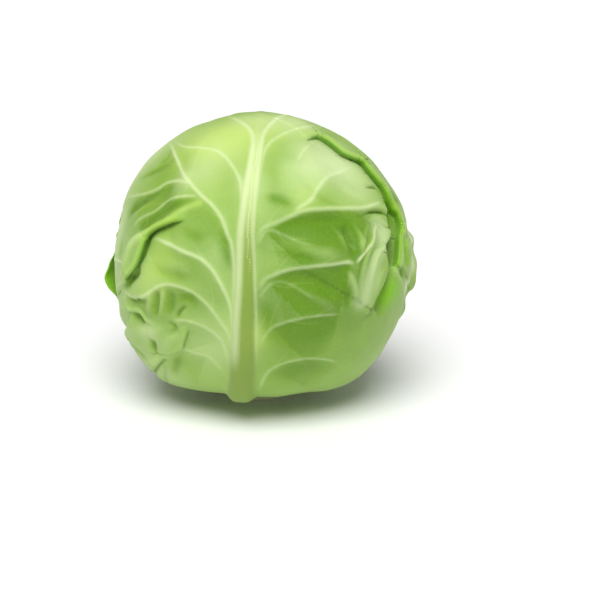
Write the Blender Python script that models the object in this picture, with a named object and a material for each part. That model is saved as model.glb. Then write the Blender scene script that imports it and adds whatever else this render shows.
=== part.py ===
"""A whole head of round green cabbage, standing on the cut end of its stalk.

Metres, +Z up, the origin in the middle of the stalk's cut end, -Y towards the viewer. Leaves lie one over
another on a ball of packed inner leaves. Each is a thin sheet that starts beside the stalk and ends past the
crown, with its midrib, side ribs, pleats and curled edges.
"""

import math

import bmesh
import bpy
import numpy as np

MM = 0.001

# The ball that the leaves are wrapped round
BALL_RADIUS = 87.4 * MM  # under the outermost leaf, at the sides
BALL_CENTRE = np.array([0.0, 0.0, 84.0 * MM])
BALL_SQUASH = 1.8 * MM  # how much less it is at the crown
BASE_FLATTENING = 8 * MM  # how far the ball draws in round the stalk
BASE_FROM, BASE_TO = 12, 50  # degrees from the stalk, where that drawing in is whole and where it ends
BULGES = [(-78, -44, 6, 24), (70, -40, 3, 28), (-118, 50, 3.6, 26)]  # azimuth, height, mm and degrees across

# Every leaf
LEAF_THICKNESS = 1.2 * MM
LEAF_GAP = 0.95 * MM
STEP_WIDTH = 8  # degrees that a covering leaf takes to come down past the edge of the leaf under it
EDGE_CLEARANCE = 2.5  # degrees by which it stays up past that edge
SHEET_GRID = 140  # quads along a side of a leaf, before it is simplified

# The stalk
STALK_RADIUS = 16.5 * MM
STALK_LENGTH = 78 * MM
STALK_SIDES = 28
STALK_CHAMFER = 0.8 * MM
LEAF_BASE_RADIUS = 19.6 * MM  # where the leaves start, from the stalk's axis
STALK_CLEARANCE = 0.4 * MM

# The packed inner leaves
HEART_CLEARANCE = 1.6 * MM
HEART_RINGS, HEART_SECTORS = 22, 36
HEART_EDGES, HEART_TWIST = 5, 1.3  # leaf edges round it, and degrees they turn by for each degree upwards
HEART_FOLDS = 1.6 * MM  # height of those edges

# The viewer looks down on the head at this angle, and front-view places are read in that view
VIEW_TILT = math.radians(18)
VIEW_RADIUS = 90  # mm, of the head's outline there

LEAF_COLOUR = (0.36, 0.56, 0.13, 1)
UNDER_LEAF_COLOUR = (0.52, 0.68, 0.26, 1)
HEART_COLOUR = (0.74, 0.8, 0.45, 1)
STALK_COLOUR = (0.82, 0.83, 0.64, 1)


def direction(azimuth, height):
    """Unit vectors at degrees round from the front by the right, and degrees over the ball's equator."""
    a, h = np.radians(azimuth), np.radians(height)
    return np.stack([np.sin(a) * np.cos(h), -np.cos(a) * np.cos(h), np.sin(h) + 0 * a], axis=-1)


def from_front(points):
    """Unit vectors to points of the ball, given as (right, up) in mm from its centre in the front view."""
    right, up = np.array(points, float).T / VIEW_RADIUS
    near = np.sqrt(np.clip(1 - right**2 - up**2, 0.0004, 1))
    tilt_sin, tilt_cos = math.sin(VIEW_TILT), math.cos(VIEW_TILT)
    return unit(np.stack([right, up * tilt_sin - near * tilt_cos, up * tilt_cos + near * tilt_sin], axis=-1))


def unit(vectors):
    return vectors / np.linalg.norm(vectors, axis=-1, keepdims=True)


def smooth_step(low, high, value):
    t = np.clip((value - low) / (high - low), 0, 1)
    return t * t * (3 - 2 * t)


def round_curve(knots, angle):
    """Reads a closed smooth curve through (degrees, value) knots at angles in degrees."""
    at, value = np.array(sorted(knots), float).T
    at = np.r_[at[-2:] - 360, at, at[:2] + 360]
    value = np.r_[value[-2:], value, value[:2]]
    slope = np.gradient(value, at)
    i = np.clip(np.searchsorted(at, angle) - 1, 0, len(at) - 2)
    step = at[i + 1] - at[i]
    t = (angle - at[i]) / step
    rise = t * t * (3 - 2 * t)
    return (
        (1 - rise) * value[i]
        + rise * value[i + 1]
        + step * t * (1 - t) * ((1 - t) * slope[i] - t * slope[i + 1])
    )


def smooth_path(points, count):
    """Points evenly spread along a smooth curve through the given unit vectors."""
    points = np.asarray(points, float)
    ends = np.concatenate([[2 * points[0] - points[1]], points, [2 * points[-1] - points[-2]]])
    t = np.linspace(0, len(points) - 1, count)
    i = np.minimum(t.astype(int), len(points) - 2)
    t = (t - i)[:, None]
    before, a, b, after = ends[i], ends[i + 1], ends[i + 2], ends[i + 3]
    bend = 2 * before - 5 * a + 4 * b - after
    twist = 3 * (a - b) + after - before
    return unit(a + 0.5 * t * (b - before + t * (bend + t * twist)))


def near_path(d, path):
    """For unit vectors d: distance to the path in metres on the ball, +1 on its left or -1 on its right, the
    share of the path's length they are along it, and the direction straight away from it on its left."""
    start, end = path[:-1], path[1:]
    run = end - start
    t = np.clip(((d[:, None] - start) * run).sum(-1) / (run**2).sum(-1), 0, 1)
    gap = np.linalg.norm(d[:, None] - (start + t[..., None] * run), axis=-1)
    best = gap.argmin(axis=1)
    rows = np.arange(len(d))
    leftward = np.cross(start, end)[best]
    left = np.where((leftward * d).sum(-1) >= 0, 1.0, -1.0)
    return gap[rows, best] * BALL_RADIUS, left, (best + t[rows, best]) / len(run), unit(leftward)


def swells(d, seed, size, count=9):
    """Smooth seeded unevenness from about -1 to 1 on the ball. Size is its grain in degrees."""
    random = np.random.RandomState(seed)
    waves = random.normal(size=(count, 3)) * (57 / size)
    shift = random.uniform(0, 2 * math.pi, count)
    return np.sin(d @ waves.T + shift).sum(axis=1) / math.sqrt(count)


class Leaf:
    """A leaf that lies on the ball. Reach holds (degrees round from the tip by the right, degrees from the
    leaf's middle to its edge). Waves holds (count, degrees, shift) of the waves along that edge. Flares holds
    (degrees round, degrees across, mm outwards, mm inwards) of places where that edge stands off the head."""

    def __init__(self, name, azimuth, height, reach, waves, seed, **shape):
        self.name, self.azimuth, self.reach, self.waves, self.seed = name, azimuth, reach, waves, seed
        self.centre = direction(azimuth, height)
        self.up = direction(azimuth, height + 90)
        self.right = np.cross(self.up, self.centre)
        base = math.degrees(math.asin(LEAF_BASE_RADIUS / (BALL_RADIUS - BASE_FLATTENING)))
        self.stalk_reach = 90 + height - base
        self.raised = shape.get("raised", 0) * MM
        self.pleats = shape.get("pleats", [])
        self.flares = shape.get("flares", [])
        self.triangles = shape["triangles"]
        self.midrib = smooth_path(shape.get("midrib", self.plain_midrib()), 26)
        self.ribs = shape.get("ribs") or self.plain_ribs()

    def at(self, turn, reach):
        """Unit vectors at degrees round from the tip and degrees from the leaf's middle."""
        turn, reach = np.radians(turn), np.radians(reach)
        sideways = np.cos(turn)[..., None] * self.up + np.sin(turn)[..., None] * self.right
        return np.cos(reach)[..., None] * self.centre + np.sin(reach)[..., None] * sideways

    def polar(self, d):
        """Degrees round from the tip, and degrees from the leaf's middle, of unit vectors."""
        turn = np.degrees(np.arctan2(d @ self.right, d @ self.up))
        return turn, np.degrees(np.arccos(np.clip(d @ self.centre, -1, 1)))

    def edge(self, turn):
        """Degrees from the leaf's middle to its edge."""
        turn = (turn + 180) % 360 - 180
        away_from_stalk = smooth_step(180, 130, np.abs(turn))
        edge = round_curve(self.reach, turn)
        for count, size, shift in self.waves:
            edge = edge + away_from_stalk * size * np.sin(np.radians(count * turn + shift))
        return np.minimum(edge, self.stalk_reach + 60 * away_from_stalk)

    def cover(self, d):
        """1 where the leaf lies, coming down to 0 outside its edge."""
        turn, reach = self.polar(d)
        past = reach - self.edge(turn) - EDGE_CLEARANCE
        return 1 - smooth_step(0, STEP_WIDTH, past)

    def plain_midrib(self):
        lengths = np.linspace(1, -1, 7)
        turn = np.where(lengths > 0, 180.0, 0.0)
        return self.at(turn, np.abs(lengths) * np.where(lengths > 0, self.stalk_reach, 0.94 * self.edge(turn)))

    def plain_ribs(self, count=6):
        """Side ribs, each (side, path), that leave the midrib nearly along it and bend out to the edge."""
        random = np.random.RandomState(self.seed)
        tip = float(self.edge(0.0))
        ribs = []
        for side in (-1, 1):
            for i in range(count):
                part = (i + random.uniform(-0.2, 0.2)) / (count - 1)
                turn = side * (138 - 112 * part)
                reach = 0.95 * self.edge(np.array(turn))
                end = reach * np.array([math.sin(math.radians(turn)), math.cos(math.radians(turn))])
                start = np.array([0, -0.9 * self.stalk_reach + part * (0.85 * self.stalk_reach + 0.45 * tip)])
                bend = np.array([0.3 * end[0], start[1] + 0.55 * max(end[1] - start[1], 14)])
                t = np.linspace(0, 1, 12)[:, None]
                flat = (1 - t) ** 2 * start + 2 * t * (1 - t) * bend + t**2 * end
                turns, reaches = np.degrees(np.arctan2(flat[:, 0], flat[:, 1])), np.hypot(*flat.T)
                ribs.append((side, self.at(turns, reaches)))
        return ribs


def front_pleat(points, side, lift, dip, slide):
    """A fold where one side of a leaf slides over the other. Side 1 means the left of the path lies on top."""
    path = smooth_path(from_front(points), 30)
    return {"path": path, "side": side, "lift": lift, "dip": dip, "slide": slide}


def front_rib(side, points):
    return side, smooth_path(from_front(points), 16)


# Places in the front view, (right, up) in mm from the middle of the ball
FRONT_MIDRIB = [(-14, -82), (-12, -47), (-9, 0), (-6, 22), (-3, 50), (-1, 68), (1, 80), (3, 86.5)]
FRONT_RIBS = [
    front_rib(-1, [(-4, 56), (-4, 68), (-8, 77), (-16, 82), (-30, 84)]),
    front_rib(-1, [(-9, 0), (-9, 22), (-11, 41), (-15, 56), (-22, 64), (-32, 67), (-43, 67), (-54, 70)]),
    front_rib(-1, [(-12, -47), (-14, -23), (-19, 0), (-26, 18), (-34, 33), (-43, 45), (-49, 58), (-55, 69)]),
    front_rib(-1, [(-43, 45), (-52, 47), (-63, 44), (-73, 39), (-82, 33)]),
    front_rib(-1, [(-12, -55), (-16, -34), (-22, -18), (-30, -5), (-41, 4), (-54, 9), (-66, 13)]),
    front_rib(-1, [(-13, -67), (-18, -50), (-26, -32), (-35, -21), (-46, -15), (-57, -15), (-81, -18)]),
    front_rib(-1, [(-15, -77), (-20, -61), (-30, -46), (-41, -38), (-55, -36), (-62, -38)]),
    front_rib(1, [(2, 68), (5, 78), (11, 83), (20, 85), (30, 84)]),
    front_rib(1, [(1, 51), (4, 63), (9, 71), (18, 77), (30, 80), (43, 78), (53, 72)]),
    front_rib(1, [(-1, 12), (4, 18), (13, 24), (24, 29), (33, 31), (47, 32), (59, 32), (73, 34)]),
    front_rib(1, [(24, 29), (30, 35), (35, 43), (40, 49), (49, 54), (58, 55)]),
    front_rib(1, [(-2, -26), (4, -16), (13, -9), (26, -4), (41, -2), (57, 0), (64, 8), (74, 21)]),
    front_rib(1, [(-3, -54), (6, -43), (16, -36), (29, -33), (45, -35), (60, -42)]),
]
FRONT_PLEATS = [
    front_pleat(
        [(27, 73), (38, 75), (51, 65), (60, 58), (66, 51), (72, 45), (77, 36), (81, 26), (83, 15), (82, 1)],
        1, lift=4, dip=3, slide=2.4,
    ),
    front_pleat(
        [(-43, 24), (-52, 22), (-60, 18), (-67, 12), (-71, 4), (-75, -5), (-79, -13), (-82, -20)],
        -1, lift=3, dip=2, slide=2,
    ),
    front_pleat([(61, 29), (69, 29), (76, 24), (79, 17)], 1, lift=1.5, dip=1.5, slide=1),
    front_pleat([(-81, -20), (-79, -27), (-76, -33), (-78, -42)], 1, lift=1.5, dip=1.5, slide=1),
]

LEAVES = [  # from the innermost out
    Leaf("under_leaf_left", -62, 6, [(0, 92), (90, 84), (-90, 86), (135, 82), (-135, 82), (180, 82)],
         [(7, 1.6, 40), (11, 0.8, 10)], 11, triangles=460),
    Leaf("under_leaf_back", 178, 6, [(0, 104), (90, 82), (-90, 84), (135, 80), (-135, 80), (180, 82)],
         [(6, 1.8, 0), (13, 0.9, 70)], 12, triangles=460, raised=1.2),
    Leaf("under_leaf_right", 58, 6, [(0, 96), (90, 84), (-90, 82), (135, 82), (-135, 80), (180, 82)],
         [(7, 1.5, 90), (12, 0.8, 0)], 13, triangles=460),
    Leaf("wrapper_leaf_right", 124, 2,
         [(0, 84), (45, 82), (90, 76), (120, 78), (150, 83), (180, 82),
          (-150, 83), (-120, 76), (-90, 74), (-45, 80)],
         [(8, 1.8, 30), (15, 0.9, 0)], 14, triangles=1250, raised=1.6,
         flares=[(-20, 40, 2.5, 14), (62, 34, 3, 14), (120, 30, 2, 12)]),
    Leaf("wrapper_leaf_front", -6, 5,
         [(0, 122), (30, 113), (60, 104), (85, 96), (100, 92), (120, 90), (150, 86), (180, 82),
          (-150, 86), (-120, 94), (-90, 99), (-60, 104), (-30, 113)],
         [(9, 1.4, 20), (17, 1.0, 50)], 15, triangles=2700, raised=3.2,
         midrib=np.concatenate([from_front(FRONT_MIDRIB), direction(np.array([178, 176]), np.array([72, 60]))]),
         ribs=FRONT_RIBS, pleats=FRONT_PLEATS,
         flares=[(98, 16, 5.5, 15), (84, 9, 4, 12), (-60, 30, 2, 12), (20, 40, 2, 14)]),
    Leaf("wrapper_leaf_left", 216, 1,
         [(0, 63), (22, 53), (45, 47), (65, 48), (90, 53), (98, 55), (120, 60), (150, 78), (180, 82),
          (-45, 74), (-75, 70), (-90, 69), (-120, 74), (-150, 80)],
         [(11, 1.2, 60), (17, 0.8, 0)], 16, triangles=1250, raised=2,
         flares=[(98, 14, 7, 16), (55, 30, 0.6, 12), (-70, 50, 2.5, 14)]),
]

# The ribs, in metres
MIDRIB_HEIGHT_BASE, MIDRIB_HEIGHT_TIP = 4.2 * MM, 0.6 * MM
MIDRIB_WIDTH_BASE, MIDRIB_WIDTH_TIP = 9.5 * MM, 3 * MM
RIB_HEIGHT = 0.9 * MM
RIB_WIDTH = 3.2 * MM
RIB_DIP, RIB_DIP_WIDTH = 1.5 * MM, 7 * MM  # the blade sinks below each side rib
COVERED_MIDRIB = 0.2  # share of a midrib's height that is left where another leaf presses on it

PLEAT_WALL = 2.8 * MM  # half the width of the wall between a pleat's two sides
PLEAT_LIFT_LENGTH, PLEAT_DIP_LENGTH, PLEAT_SLIDE_LENGTH = 28 * MM, 7 * MM, 9 * MM


def ball(d):
    """Radius of the ball that the outermost leaf would lie on."""
    from_stalk = np.degrees(np.arccos(np.clip(-d[:, 2], -1, 1)))
    radius = BALL_RADIUS - BALL_SQUASH * d[:, 2] ** 2
    for azimuth, height, bulge, width in BULGES:
        away = np.degrees(np.arccos(np.clip(d @ direction(azimuth, height), -1, 1)))
        radius = radius + bulge * MM * np.exp(-((away / width) ** 2))
    return radius - BASE_FLATTENING * (1 - smooth_step(BASE_FROM, BASE_TO, from_stalk))


def pressed(k, d):
    """1 where a leaf further out covers leaf k."""
    covers = [leaf.cover(d) for leaf in LEAVES[k + 1 :]]
    return np.max(covers, axis=0) if covers else np.zeros(len(d))


def midrib_height(leaf, d):
    gap, _, along, _ = near_path(d, leaf.midrib)
    width = MIDRIB_WIDTH_BASE + (MIDRIB_WIDTH_TIP - MIDRIB_WIDTH_BASE) * along**0.8
    height = MIDRIB_HEIGHT_TIP + (MIDRIB_HEIGHT_BASE - MIDRIB_HEIGHT_TIP) * (1 - along) ** 1.5
    return height * smooth_step(1.05, 0.45, gap / width)


def leaf_step(k, d):
    """What leaf k adds under every leaf that lies over it."""
    leaf = LEAVES[k]
    rib = midrib_height(leaf, d) * (1 - (1 - COVERED_MIDRIB) * pressed(k, d))
    return leaf.cover(d) * (LEAF_THICKNESS + LEAF_GAP + rib)


def heart_radius(d):
    """The packed leaves fill the ball under all the leaves, as smoothly as packed leaves do."""
    whole = sum(leaf.cover(d) for leaf in LEAVES) * (LEAF_THICKNESS + LEAF_GAP)
    return ball(d) - 0.6 * whole - 2.6 * MM


def seat(k, d):
    """Radius that leaf k lies on."""
    return heart_radius(d) + sum(leaf_step(j, d) for j in range(k))


def side_ribs(leaf, d):
    """Height of the side ribs, with the dip of the blade below each."""
    height = np.zeros(len(d))
    for side, path in leaf.ribs:
        gap, left, along, _ = near_path(d, path)
        fade = smooth_step(0, 0.12, along) * (1 - 0.6 * along) * smooth_step(1, 0.85, along)
        below = left * side < 0
        dip = gap / RIB_DIP_WIDTH * np.exp(1 - gap / RIB_DIP_WIDTH)
        height += fade * (RIB_HEIGHT * np.exp(-((gap / RIB_WIDTH) ** 2)) - RIB_DIP * dip * below)
    return height


def pleat_moves(leaf, d):
    """How far the leaf's pleats move it outwards, and sideways along the ball."""
    out, slide = np.zeros(len(d)), np.zeros((len(d), 3))
    for pleat in leaf.pleats:
        gap, left, along, leftward = near_path(d, pleat["path"])
        over = gap * left * pleat["side"]
        size = smooth_step(0, 0.3, along) * np.where(along >= 1, np.exp(-gap / (6 * MM)), 1)
        top = 0.5 + 0.5 * np.tanh(over / PLEAT_WALL)
        out += size * pleat["lift"] * MM * top * np.exp(-gap / PLEAT_LIFT_LENGTH)
        out -= size * pleat["dip"] * MM * (1 - top) * np.exp(-((gap / PLEAT_DIP_LENGTH) ** 2))
        push = size * pleat["slide"] * MM * np.tanh(over / PLEAT_WALL) * np.exp(-gap / PLEAT_SLIDE_LENGTH)
        slide -= (push * pleat["side"])[:, None] * leftward
    return out, slide


def flare(leaf, d):
    """How far parts of the leaf's edge stand off the head."""
    turn, reach = leaf.polar(d)
    inside = np.radians(leaf.edge(turn) - reach) * BALL_RADIUS
    out = np.zeros(len(d))
    for middle, width, height, length in leaf.flares:
        away = (turn - middle + 180) % 360 - 180
        lift = np.clip(1 - inside / (length * MM), 0, 1.2) ** 2
        out += height * MM * lift * np.exp(-((away / width) ** 2))
    return out


def sheet(k, count):
    """Middle surface of leaf k as (count + 1)^2 points in rows, and the thickness of the leaf at each."""
    leaf = LEAVES[k]
    line = np.linspace(-1, 1, count + 1)
    across, along = (grid.ravel() for grid in np.meshgrid(line, line))
    x, y = across * np.sqrt(1 - along**2 / 2), along * np.sqrt(1 - across**2 / 2)
    turn = np.degrees(np.arctan2(x, y))
    d = leaf.at(turn, np.hypot(x, y) * leaf.edge(turn))
    free = 1 - pressed(k, d)
    rib = midrib_height(leaf, d) * (COVERED_MIDRIB + (1 - COVERED_MIDRIB) * free)
    pleat_out, slide = pleat_moves(leaf, d)
    turn, reach = leaf.polar(d)
    in_edge = smooth_step(0, 14, leaf.edge(turn) - reach)
    uneven = 0.5 + 0.5 * swells(d, leaf.seed, 26)
    from_stalk = smooth_step(12, 50, np.degrees(np.arccos(-d[:, 2])))
    loose = leaf.raised * from_stalk * (0.25 + 0.75 * in_edge) * (0.55 + 0.45 * uneven)
    out = np.maximum(loose + side_ribs(leaf, d) + pleat_out, 0) + flare(leaf, d)
    radius = seat(k, d) + (LEAF_THICKNESS + rib) / 2 + free * out
    moved = unit(d + free[:, None] * slide / BALL_RADIUS)
    return BALL_CENTRE + moved * radius[:, None], LEAF_THICKNESS + rib


def grid_triangles(count):
    """Triangles of a square grid, each quad cut along the diagonal that points at the grid's middle."""
    rows, columns = (grid.ravel() for grid in np.meshgrid(*[np.arange(count)] * 2, indexing="ij"))
    a = rows * (count + 1) + columns
    b, c, e = a + 1, a + count + 2, a + count + 1
    towards_middle = ((rows < count / 2) == (columns < count / 2))[:, None]
    first = np.where(towards_middle, np.stack([a, b, c], 1), np.stack([a, b, e], 1))
    second = np.where(towards_middle, np.stack([a, c, e], 1), np.stack([b, c, e], 1))
    return np.concatenate([first, second])


def mesh_object(name, points, faces, material):
    mesh = bpy.data.meshes.new(name)
    mesh.from_pydata(np.asarray(points).tolist(), [], np.asarray(faces).tolist())
    mesh.materials.append(material)
    mesh.shade_smooth()
    made = bpy.data.objects.new(name, mesh)
    bpy.context.scene.collection.objects.link(made)
    return made


def leaf_object(k, material):
    """A leaf: its sheet with few triangles, and then its thickness, which is greater along the midrib."""
    leaf = LEAVES[k]
    points, thickness = sheet(k, SHEET_GRID)
    made = mesh_object(leaf.name, points, grid_triangles(SHEET_GRID), material)
    thickest = thickness.max()
    group = made.vertex_groups.new(name="thickness")
    for index, share in enumerate(thickness / thickest):
        group.add([index], float(share), "REPLACE")
    fewer = made.modifiers.new("Fewer triangles", "DECIMATE")
    fewer.ratio = leaf.triangles / (2 * SHEET_GRID**2)
    fewer.use_collapse_triangulate = True
    solid = made.modifiers.new("Thickness", "SOLIDIFY")
    solid.thickness = thickest
    solid.vertex_group = group.name
    solid.offset = 0
    return made


def turned(name, rings, material, sectors):
    """A closed solid from rings of points, each a list of one point or of as many points as there are sectors."""
    build = bmesh.new()
    rows = [[build.verts.new(point) for point in ring] for ring in rings]
    for lower, upper in zip(rows, rows[1:]):
        for i in range(sectors):
            j = (i + 1) % sectors
            corners = [lower[i % len(lower)], lower[j % len(lower)], upper[j % len(upper)], upper[i % len(upper)]]
            build.faces.new(list(dict.fromkeys(corners)))
    bmesh.ops.recalc_face_normals(build, faces=build.faces)
    mesh = bpy.data.meshes.new(name)
    build.to_mesh(mesh)
    build.free()
    mesh.materials.append(material)
    mesh.shade_smooth()
    made = bpy.data.objects.new(name, mesh)
    bpy.context.scene.collection.objects.link(made)
    return made


def stalk_radius(z):
    """Radius of the stalk, which narrows upwards inside the head."""
    return STALK_RADIUS * (1 - 0.55 * (z / STALK_LENGTH) ** 1.6)


def circle(radius, z, sectors):
    """Points round the stalk's axis, from the front round by the right."""
    angles = np.arange(sectors) * 2 * math.pi / sectors
    return [(radius * math.sin(a), -radius * math.cos(a), z) for a in angles]


def stalk(material):
    """The stalk, with its flat cut end down and a round end inside the head."""
    rings = [
        [(0, 0, 0)],
        circle(STALK_RADIUS - STALK_CHAMFER, 0, STALK_SIDES),
        circle(STALK_RADIUS, STALK_CHAMFER, STALK_SIDES),
    ]
    for z in np.linspace(6 * MM, STALK_LENGTH - 8 * MM, 8):
        rings.append(circle(stalk_radius(z), z, STALK_SIDES))
    rings.append(circle(0.6 * stalk_radius(STALK_LENGTH), STALK_LENGTH - 2 * MM, STALK_SIDES))
    rings.append([(0, 0, STALK_LENGTH)])
    return turned("stalk", rings, material, STALK_SIDES)


def heart(material):
    """The packed inner leaves, with the stalk's socket in their foot. Their edges show as low spiral steps."""
    foot_radius = BALL_RADIUS - BASE_FLATTENING - 12 * MM
    foot = math.degrees(math.asin((STALK_RADIUS + STALK_CLEARANCE + 1.5 * MM) / foot_radius))
    azimuth = np.arange(HEART_SECTORS) * 360 / HEART_SECTORS
    rings = []
    for height in np.linspace(foot - 90, 90, HEART_RINGS):
        d = direction(azimuth, np.full(HEART_SECTORS, height))
        turn = azimuth + HEART_TWIST * height
        step = ((turn * HEART_EDGES / 360) % 1) ** 3 * math.cos(math.radians(height))
        radius = heart_radius(d) - HEART_CLEARANCE - HEART_FOLDS * step
        rings.append((BALL_CENTRE + d * radius[:, None]).tolist())
    rings[-1] = rings[-1][:1]
    foot_z = rings[0][0][2]
    wall = [
        circle(stalk_radius(z) + STALK_CLEARANCE, z, HEART_SECTORS)
        for z in np.linspace(STALK_LENGTH, foot_z, 5)
    ]
    roof = [(0, 0, STALK_LENGTH + 1.5 * MM)]
    return turned("heart", [roof, *wall, *rings], material, HEART_SECTORS)


def material(name, colour, roughness):
    made = bpy.data.materials.new(name)
    made.use_nodes = True
    shader = made.node_tree.nodes["Principled BSDF"]
    shader.inputs["Base Color"].default_value = colour
    shader.inputs["Roughness"].default_value = roughness
    made.diffuse_color = colour
    return made


def main():
    for old in list(bpy.data.objects):
        bpy.data.objects.remove(old)
    outer_leaf = material("green leaf", LEAF_COLOUR, 0.45)
    under_leaf = material("pale leaf", UNDER_LEAF_COLOUR, 0.45)
    for k, leaf in enumerate(LEAVES):
        leaf_object(k, outer_leaf if leaf.name.startswith("wrapper") else under_leaf)
    heart(material("packed leaves", HEART_COLOUR, 0.5))
    stalk(material("stalk", STALK_COLOUR, 0.6))


main()
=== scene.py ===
# A head of green cabbage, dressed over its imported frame.
# Metres, +Z up, -Y towards the viewer. The leaves are worked out as sheets on a ball, as the frame's are.

import math

import bpy
import numpy as np
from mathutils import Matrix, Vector
from mathutils.kdtree import KDTree


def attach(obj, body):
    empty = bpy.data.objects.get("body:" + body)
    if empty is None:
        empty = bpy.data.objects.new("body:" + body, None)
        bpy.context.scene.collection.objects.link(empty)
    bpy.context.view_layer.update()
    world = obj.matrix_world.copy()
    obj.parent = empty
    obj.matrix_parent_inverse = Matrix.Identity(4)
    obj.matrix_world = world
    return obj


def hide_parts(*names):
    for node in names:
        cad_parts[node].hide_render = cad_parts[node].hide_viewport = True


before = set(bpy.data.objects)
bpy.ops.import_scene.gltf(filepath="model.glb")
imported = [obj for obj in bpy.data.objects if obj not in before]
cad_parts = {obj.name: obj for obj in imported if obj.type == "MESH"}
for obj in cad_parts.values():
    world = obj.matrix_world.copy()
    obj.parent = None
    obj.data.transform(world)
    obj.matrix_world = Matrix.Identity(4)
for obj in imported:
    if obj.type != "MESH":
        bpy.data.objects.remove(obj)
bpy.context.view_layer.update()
mm = 0.001

# ---- the camera, first, because front-view places are read in its picture

photo = {
    "size": 600,  # pixels each way
    "headMiddle": (258, 262),  # where the middle of the head is in it
    "tilt": math.radians(18),
    "distance": 1.3,
    "mmPerPixel": 0.608,
    "sensor": 36,
}

ballPlace = {"centre": np.array([0, 0, 84]) * mm, "sideShift": 0.8 * mm, "seen": 88.5}


def makeCamera():
    tilt, size = photo["tilt"], photo["size"]
    right = Vector((1, 0, 0))
    forward = Vector((0, math.cos(tilt), -math.sin(tilt)))
    up = Vector((0, math.sin(tilt), math.cos(tilt)))
    pixel = photo["mmPerPixel"] * mm
    across, down = (size / 2 - place for place in photo["headMiddle"])
    middle = Vector(ballPlace["centre"]) - right * ballPlace["sideShift"]
    aim = middle + right * across * pixel - up * down * pixel
    data = bpy.data.cameras.new("camera")
    data.sensor_width = photo["sensor"]
    data.lens = photo["sensor"] * photo["distance"] / (size * pixel)
    camera = bpy.data.objects.new("camera", data)
    camera.location = aim - forward * photo["distance"]
    camera.rotation_euler = forward.to_track_quat("-Z", "Y").to_euler()
    bpy.context.scene.collection.objects.link(camera)
    bpy.context.scene.camera = camera


makeCamera()
print("camera placed")

# ---- directions, places and curves on the ball


def unit(vectors):
    return vectors / np.linalg.norm(vectors, axis=-1, keepdims=True)


def direction(azimuth, height):
    # unit vectors at degrees round from the front by the right, and degrees over the ball's equator
    a, h = np.radians(azimuth), np.radians(height)
    return np.stack([np.sin(a) * np.cos(h), -np.cos(a) * np.cos(h), np.sin(h) + 0 * a], axis=-1)


def fromPicture(places):
    # unit vectors from the ball's middle to the places on the head seen at (across, down) pixels in the picture
    scale = photo["mmPerPixel"]
    across, down = np.array(places, float).T
    middle = photo["headMiddle"]
    shift = ballPlace["sideShift"] / mm
    seen = np.stack([(across - middle[0]) * scale - shift, (middle[1] - down) * scale, 0 * across], axis=-1)
    half = photo["size"] / 2
    eye = np.array([(half - middle[0]) * scale - shift, (middle[1] - half) * scale, photo["distance"] / mm])
    ray = unit(seen - eye)
    reach = -(ray @ eye)
    miss = eye + reach[:, None] * ray
    into = np.sqrt(np.clip(ballPlace["seen"] ** 2 - (miss**2).sum(-1), 0, None))
    right, up, near = (miss - into[:, None] * ray).T
    s, c = math.sin(photo["tilt"]), math.cos(photo["tilt"])
    return unit(np.stack([right, up * s - near * c, up * c + near * s], axis=-1))


def smoothStep(low, high, value):
    t = np.clip((value - low) / (high - low), 0, 1)
    return t * t * (3 - 2 * t)


def degreesBetween(a, b):
    return np.degrees(np.arccos(np.clip(a @ b, -1, 1)))


def roundCurve(knots, angle):
    # a closed smooth curve through (degrees, value) knots, read at angles in degrees
    at, value = np.array(sorted(knots), float).T
    at = np.r_[at[-2:] - 360, at, at[:2] + 360]
    value = np.r_[value[-2:], value, value[:2]]
    slope = np.gradient(value, at)
    i = np.clip(np.searchsorted(at, angle) - 1, 0, len(at) - 2)
    step = at[i + 1] - at[i]
    t = (angle - at[i]) / step
    rise = t * t * (3 - 2 * t)
    bend = step * t * (1 - t) * ((1 - t) * slope[i] - t * slope[i + 1])
    return (1 - rise) * value[i] + rise * value[i + 1] + bend


def smoothPath(points, count):
    # points evenly spread along a smooth curve through the given unit vectors
    points = np.asarray(points, float)
    ends = np.concatenate([[2 * points[0] - points[1]], points, [2 * points[-1] - points[-2]]])
    t = np.linspace(0, len(points) - 1, count)
    i = np.minimum(t.astype(int), len(points) - 2)
    t = (t - i)[:, None]
    before, a, b, after = ends[i], ends[i + 1], ends[i + 2], ends[i + 3]
    bend = 2 * before - 5 * a + 4 * b - after
    twist = 3 * (a - b) + after - before
    return unit(a + 0.5 * t * (b - before + t * (bend + t * twist)))


def nearPath(d, path):
    # signed distance in mm on the ball (+ on the path's left), share of the path's length, direction leftwards
    start, end = path[:-1], path[1:]
    run = end - start
    size = (run**2).sum(-1)
    forward = d @ run.T - (start * run).sum(-1)
    t = np.clip(forward / size, 0, 1)
    gap = 2 - 2 * d @ start.T - 2 * t * forward + t**2 * size
    best = gap.argmin(axis=1)
    rows = np.arange(len(d))
    leftward = unit(np.cross(start, end))[best]
    side = np.where((leftward * d).sum(-1) >= 0, 1.0, -1.0)
    away = side * np.sqrt(np.maximum(gap[rows, best], 0)) * ball["radius"] / mm
    return away, (best + t[rows, best]) / len(run), leftward


def swells(d, seed, size, count=10):
    # smooth seeded unevenness from about -1 to 1, its grain in degrees
    random = np.random.RandomState(seed)
    waves = random.normal(size=(count, 3)) * (57 / size)
    shift = random.uniform(0, 2 * math.pi, count)
    return np.sin(d @ waves.T + shift).sum(axis=1) / math.sqrt(count)


# ---- the ball that the leaves lie on, as in the frame

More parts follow.
